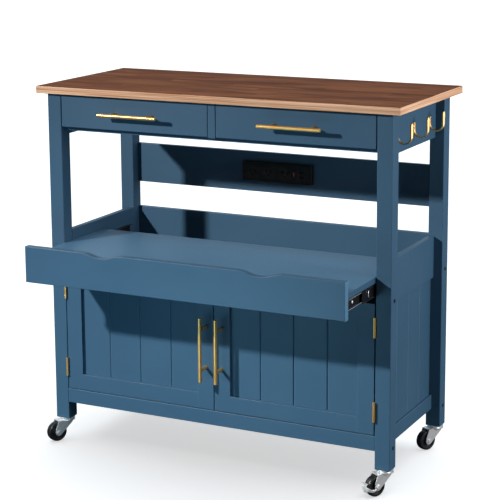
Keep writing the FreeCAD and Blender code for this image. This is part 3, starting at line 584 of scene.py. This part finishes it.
def pedal():
    """A tongue up the tread and the foot plate it runs out into.

    The tongue is an arc about the axle. The foot is the quadratic Bezier (1-t)^2 A + 2t(1-t) B +
    t^2 C from the arc's end, leaving it straight ahead. Both flare with smooth steps.
    """
    turn = np.radians(np.linspace(*PEDAL_ARC, 40))
    arc = LEVER_REACH * np.stack([np.cos(turn), np.zeros(40), np.sin(turn)], axis=-1)
    part = np.linspace(0, 1, 20)[1:, None]
    end = arc[-1]
    knee = end + 2.5 * (arc[-1] - arc[-3])
    tip = end + np.array(PEDAL_TIP)
    foot = (1 - part) ** 2 * end + 2 * part * (1 - part) * knee + part**2 * tip
    path = np.concatenate([arc, foot])
    part = np.linspace(0, 1, len(path))
    half = 4.2 * MM + 4.0 * MM * (1 - smooth_step(part, 0.0, 0.3))
    half += 5.6 * MM * smooth_step(part, 0.5, 0.85)
    return band(path, (0, 1, 0), half)


def eyes():
    """A washer on each end of the axle: flat rings from the bore, and half a circle for the rim."""
    inner, outer = LEVER_HALF - LEVER_SHEET, LEVER_HALF + LEVER_SHEET
    turn = np.linspace(-math.pi / 2, math.pi / 2, 9)
    rim = EYE_OUT - LEVER_SHEET + LEVER_SHEET * np.cos(turn)
    radii = np.concatenate([[EYE_BORE], rim, [EYE_BORE]])
    heights = np.concatenate([[inner], LEVER_HALF + LEVER_SHEET * np.sin(turn), [outer]])
    return np.stack([lathe(radii, side * heights, 40, (0, 0, 0), (0, 1, 0)) for side in (-1, 1)])


def add_brake_levers(material):
    """Each lever is shaped about its axle's middle, then turned to lie along that axle."""
    for corner in CORNERS:
        joint = JOINTS.get("brake_press_" + corner)
        if joint is None:
            continue
        along = -np.array(joint["axis"])
        turn = np.stack([np.cross(along, (0, 0, 1)), along, (0.0, 0.0, 1.0)])
        shapes = {
            "yoke": (yoke()[None], False),
            "pedal": (pedal()[None], False),
            "eyes": (eyes(), True),
        }
        for part, (points, looped) in shapes.items():
            name = "brake_" + part + "_" + corner
            placed = points @ turn + np.array(joint["pos_m"])
            piece = skin(name, placed, looped, material, "brake_" + corner)
            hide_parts("brake_lever_" + corner)


# ---- tray slides ----
BALL_RADIUS = 0.7 * MM
BALL_STEP = 6.0 * MM
BALL_COUNT = 18
# Each row's place: from the outer face, above and below the middle, and from the front end.
BALL_ROWS = ((-6.1 * MM, 12.8 * MM, 8 * MM), (-2.0 * MM, 15.55 * MM, 185 * MM))
CLIP_INSET = 1.95 * MM
CLIP_START = 43 * MM
CLIP_RADIUS = 9.0 * MM
CLIP_SPAN = math.radians(68)
CLIP_HALF = (1.7 * MM, 0.75 * MM)
LIP_RADIUS = 0.5 * MM
LIP_OUT = 0.5 * MM
LIP_IN = 0.6 * MM
SCREW_RADIUS = 4.2 * MM
SCREW_HEIGHT = 1.7 * MM
SCREW_INSET = 4.15 * MM
SCREW_PLACES = (45 * MM, 150 * MM, 262 * MM)
CROSS_DEPTH = 0.9 * MM
CROSS_HALF = (0.25 * MM, 0.6 * MM)
CROSS_END = (1.9 * MM, 2.3 * MM)


def balls(places, radius):
    """A ball at each place: radius times (cos u cos v, cos u sin v, sin u)."""
    up = np.linspace(-math.pi / 2 + 0.02, math.pi / 2 - 0.02, 7)
    ball = lathe(radius * np.cos(up), radius * np.sin(up), 10, (0, 0, 0), (0, 0, 1))
    return np.asarray(places)[:, None, None, :] + ball


def screw_head(centre, axis):
    """A flattened dome with a cross cut into it.

    The height is a quarter circle raised to the power 0.7, less a smooth trench where the distance
    to either arm of the cross is small.
    """
    part = np.linspace(1, 0.004, 40)
    rings = lathe(SCREW_RADIUS * part, np.zeros(40), 48, centre, axis)
    angle = np.linspace(0, TURN, 48, endpoint=False)
    radius = SCREW_RADIUS * part[:, None]
    across = radius * np.abs(np.stack([np.cos(angle), np.sin(angle)]))[:, None, :]
    arm = 1 - smooth_step(across.min(axis=0), *CROSS_HALF)
    inside = 1 - smooth_step(radius, *CROSS_END)
    height = SCREW_HEIGHT * (1 - part[:, None] ** 2) ** 0.35 - CROSS_DEPTH * arm * inside
    return rings + height[..., None] * np.asarray(axis)


def crescent(centre, toward):
    """A sickle of spring steel: an ellipse carried along an arc and thinned to both ends.

    Along the arc the ellipse's size is the root of the sine of the part of the way.
    """
    part = np.linspace(0.02, 0.98, 40)
    bend = math.pi + CLIP_SPAN * (2 * part - 1)
    taper = np.sin(math.pi * part) ** 0.5
    outward = np.stack([np.zeros(40), np.cos(bend), np.sin(bend)], axis=-1)
    angle = np.linspace(0, TURN, 16, endpoint=False)
    across = np.cos(angle)[None, :, None] * outward[:, None, :] * CLIP_HALF[0]
    depth = np.sin(angle)[None, :, None] * np.array((toward, 0, 0)) * CLIP_HALF[1]
    spine = np.asarray(centre) + CLIP_RADIUS * outward[:, None, :]
    return spine + taper[:, None, None] * (across + depth)


def lip(centre, length):
    """A bare rim along Y: a rod whose radius goes as the root of 1 - |2t - 1|^12, round-ended."""
    part = np.linspace(0, 1, 40)
    radii = LIP_RADIUS * (1 - np.abs(2 * part - 1) ** 12) ** 0.5 + 0.01 * MM
    return lathe(radii, part * length, 12, centre, (0, 1, 0))


def add_slide_pieces(steel):
    """Balls and stop clips on the middle members, and screws and bare lips on the inner ones."""
    low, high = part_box("slide_middle_members")
    middle_z = (low.z + high.z) / 2
    rows = []
    for side in (-1, 1):
        for up in (-1, 1):
            for inset, lift, start in BALL_ROWS:
                row = np.zeros((BALL_COUNT, 3))
                row[:, 0] = side * (high.x + inset)
                row[:, 1] = low.y + start + np.arange(BALL_COUNT) * BALL_STEP
                row[:, 2] = middle_z + up * lift
                rows.append(row)
    beads = balls(np.concatenate(rows), BALL_RADIUS)
    skin("slide_balls", beads, False, steel, "slide_middles")
    clips = [
        crescent((side * (high.x - CLIP_INSET), low.y + CLIP_START, middle_z), side)
        for side in (-1, 1)
    ]
    skin("slide_clips", np.stack(clips), False, steel, "slide_middles")
    low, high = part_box("slide_inner_members")
    face = high.x - SCREW_INSET
    heads = [
        screw_head((side * face, low.y + place, middle_z), (side, 0, 0))
        for side in (-1, 1)
        for place in SCREW_PLACES
    ]
    skin("slide_screws", np.stack(heads), False, steel, "tray", 60)
    lips = [
        lip((side * (high.x + LIP_OUT), low.y, z), high.y - low.y)
        for side in (-1, 1)
        for z in (low.z + LIP_IN, high.z - LIP_IN)
    ]
    skin("slide_lips", np.stack(lips), False, steel, "tray")


# ---- power switch ----
SWITCH_X = 49.5 * MM
SWITCH_SINK = 0.05 * MM
SWITCH_HALF = (4.6 * MM, 9.5 * MM)
SWITCH_RISE = 2.4 * MM
LENS_HALF = (0.8 * MM, 6.0 * MM)
LENS_RISE = 0.35 * MM


def rounded_plate(centre, half, power, heights, parts):
    """Rings that shrink to a middle, standing off towards -Y.

    Each ring is a superellipse: |x/a|^n + |z/b|^n = 1, times the ring's part of the way.
    """
    angle = np.linspace(0, TURN, 64, endpoint=False)
    reach = (np.abs(np.cos(angle)) ** power + np.abs(np.sin(angle)) ** power) ** (-1 / power)
    x = parts[:, None] * half[0] * reach * np.cos(angle)
    z = parts[:, None] * half[1] * reach * np.sin(angle)
    y = -heights(z, parts[:, None])
    return np.asarray(centre) + np.stack([x, y, z], axis=-1)


def rocker_height(z, part):
    """A hollow face, pressed in at its lower end.

    The height is a parabola tipped by its straight term, times a rim of (1 - t^10)^0.3.
    """
    rim = (1 - part**10) ** 0.3
    tip = (z / SWITCH_HALF[1]) ** 2 + 0.5 * z / SWITCH_HALF[1]
    return rim * (SWITCH_RISE * 0.55 + 0.45 * SWITCH_RISE * tip)


def lens_height(z, part):
    """A half-round bead, the root of 1 - t^2, laid on the rocker's face."""
    return rocker_height(z, 0.0) + LENS_RISE * (1 - part**2) ** 0.5 - SWITCH_SINK


def add_switch(plastic, lens):
    """A rocker on the power strip and the lit bar on it."""
    low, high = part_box("power_strip")
    centre = (SWITCH_X, low.y + SWITCH_SINK, (low.z + high.z) / 2)
    parts = np.concatenate([[1.0, 1.0], np.linspace(0.995, 0.01, 30)])
    rocker = rounded_plate(centre, SWITCH_HALF, 6, rocker_height, parts)
    skin("strip_switch", rocker[None], False, plastic, "cabinet")
    bar = rounded_plate(centre, LENS_HALF, 3, lens_height, np.linspace(1, 0.01, 14))
    skin("strip_switch_light", bar[None], False, lens, "cabinet")


# ---- studio ----
KEY_PLACE = (-1.20, -1.49, 1.51)
KEY_SIZE = 0.09
KEY_POWER = 9.6
SIDE_PLACE = (2.9, 0.05, 1.25)
SIDE_SIZE = 1.6
SIDE_POWER = 60.0
TOP_PLACE = (0.0, -1.20, 2.60)
TOP_SIZE = 0.9
TOP_POWER = 36.0
SKY_ANGLE = math.radians(75)
SKY_POWER = 1.55
LOW_PLACE = (-0.15, -0.95, 0.10)
LOW_SIZE = 0.7
LOW_POWER = 3.6
SPOT_CONE = math.radians(48)
SPOT_POWER = 19.0
COOL = (0.36, 0.78, 1.0)
WARM = (1.0, 0.96, 0.93)
EDGE_PLACE = (1.60, -0.27, 0.60)
EDGE_SIZE = 0.3
EDGE_POWER = 13.0
GLEAM_PLACE = (1.7, 1.9, 0.55)
GLEAM_SIZE = 1.7
GLEAM_POWER = 17.0
TRAY_OUT = 0.175
FLOOR_HALF = 30.0
FLOOR_COLOUR = (0.86, 0.86, 0.86)
FLOOR_GLOW = 0.60
FLOOR_DIM = (0.10, 0.10, 0.10)
SKY_TINT = (0.72, 0.88, 1.0)
WHITE = (1.0, 1.0, 1.0)


def add_lamp(name, place, target, size, power, kind="AREA"):
    """A round flat lamp or a spot that points at a target and can't be seen itself."""
    data = bpy.data.lights.new(name, kind)
    data.energy = power
    if kind == "AREA":
        data.shape = "DISK"
        data.size = size
    else:
        data.shadow_soft_size = size / 2
        data.spot_size = SPOT_CONE
        data.spot_blend = 1.0
    lamp = bpy.data.objects.new(name, data)
    lamp.location = place
    lamp.rotation_mode = "QUATERNION"
    lamp.rotation_quaternion = (Vector(target) - Vector(place)).to_track_quat("-Z", "Y")
    lamp.visible_camera = False
    bpy.context.scene.collection.objects.link(lamp)
    return lamp


def keep_even(lamp):
    """Makes a lamp's light as strong far off as near by, as from a lamp much further away."""
    lamp.data.use_nodes = True
    tree = lamp.data.node_tree
    even = tree.nodes.new("ShaderNodeLightFalloff")
    even.inputs["Strength"].default_value = 1.0
    tree.links.new(even.outputs["Constant"], tree.nodes["Emission"].inputs["Strength"])


def add_floor():
    """A flat pale floor, bright to the camera and dim as a source of light."""
    corners = [(x * FLOOR_HALF, y * FLOOR_HALF, 0) for x, y in ((-1, -1), (1, -1), (1, 1), (-1, 1))]
    mesh = bpy.data.meshes.new("floor")
    mesh.from_pydata(corners, [], [(0, 1, 2, 3)])
    floor = bpy.data.objects.new("floor", mesh)
    bpy.context.scene.collection.objects.link(floor)
    f = Finish("floor")
    f.finish(Base_Color=FLOOR_COLOUR, Roughness=0.9, Specular_IOR_Level=0.0)
    f.finish(Emission_Color=WHITE, Emission_Strength=FLOOR_GLOW)
    dim = f.node("ShaderNodeBsdfDiffuse", Color=FLOOR_DIM)
    seen = f.node("ShaderNodeLightPath").outputs["Is Camera Ray"]
    both = f.node("ShaderNodeMixShader")
    put(f.tree, both.inputs[0], seen)
    put(f.tree, both.inputs[1], dim.outputs[0])
    put(f.tree, both.inputs[2], f.shader.outputs[0])
    put(f.tree, f.tree.nodes["Material Output"].inputs["Surface"], both.outputs[0])
    floor.data.materials.append(f.material)
    return floor


def share(lamp, things, state):
    """Lights only some things with a lamp, or everything but them."""
    group = bpy.data.collections.new(lamp.name + "_lit")
    for thing in things:
        group.objects.link(thing)
    lamp.light_linking.receiver_collection = group
    for member in group.collection_objects:
        member.light_linking.link_state = state


def add_world():
    """Pale blue light, strong from behind and faint elsewhere, and white to the camera."""
    world = bpy.data.worlds.new("studio")
    bpy.context.scene.world = world
    world.use_nodes = True
    tree = world.node_tree
    way = tree.nodes.new("ShaderNodeTexCoord").outputs["Generated"]
    split = tree.nodes.new("ShaderNodeSeparateXYZ")
    put(tree, split.inputs[0], way)
    y, z = Term(tree, split.outputs["Y"]), Term(tree, split.outputs["Z"])
    glow = 0.022 + y.ramp(-0.05, 0.6) * 0.70 + z.ramp(0.3, 1.0) * 0.10
    seen = Term(tree, tree.nodes.new("ShaderNodeLightPath").outputs["Is Camera Ray"])
    put(tree, tree.nodes["Background"].inputs["Strength"], glow * (1 - seen) + seen * 1.05)
    tint = tree.nodes.new("ShaderNodeMix")
    tint.data_type = "RGBA"
    put(tree, tint.inputs[0], seen)
    put(tree, tint.inputs[6], SKY_TINT)
    put(tree, tint.inputs[7], WHITE)
    put(tree, tree.nodes["Background"].inputs["Color"], tint.outputs[2])


def add_studio():
    """The world, the floor and the lamps, some of which light only one part or only the floor."""
    add_world()
    floor = add_floor()
    low, high = cad_box
    middle = (low + high) / 2
    key = add_lamp("key", KEY_PLACE, middle, KEY_SIZE, KEY_POWER)
    side = add_lamp("side", SIDE_PLACE, middle, SIDE_SIZE, SIDE_POWER)
    low_lamp = add_lamp("low", LOW_PLACE, (0.0, low.y + TRAY_OUT, 0.3), LOW_SIZE, LOW_POWER)
    low_lamp.data.color = COOL
    spot_target = (0.05, low.y + 0.1, -0.05)
    spot = add_lamp("key_spot", KEY_PLACE, spot_target, KEY_SIZE, SPOT_POWER, "SPOT")
    for lamp in (key, spot):
        keep_even(lamp)
        lamp.data.color = WARM
    edge = add_lamp("edge", EDGE_PLACE, (high.x, EDGE_PLACE[1], 0.5), EDGE_SIZE, EDGE_POWER)
    edge.data.color = WARM
    share(edge, [NODES["tray_front"]], "INCLUDE")
    gleam = add_lamp("gleam", GLEAM_PLACE, (high.x, 0.0, 0.8), GLEAM_SIZE, GLEAM_POWER)
    share(gleam, [NODES["side_hooks"], NODES["hook_screws"]], "INCLUDE")
    top = add_lamp("top", TOP_PLACE, (0.0, low.y + TRAY_OUT, 0.5), TOP_SIZE, TOP_POWER)
    for lamp in (key, spot, side, low_lamp):
        share(lamp, [floor], "EXCLUDE")
    share(top, [NODES["tray_deck"]], "INCLUDE")
    sky = bpy.data.objects.new("sky", bpy.data.lights.new("sky", "SUN"))
    sky.data.angle = SKY_ANGLE
    sky.data.energy = SKY_POWER
    bpy.context.scene.collection.objects.link(sky)
    share(sky, [floor], "INCLUDE")
    bpy.context.scene.view_settings.view_transform = "Standard"


materials = finishes()
dress_nodes(materials)
add_camera()
add_wheels(materials["wheel_rubber"])
add_brake_levers(materials["zinc"])
add_slide_pieces(bright_steel())
add_switch(materials["socket_plastic"], signal_lens())
add_studio()
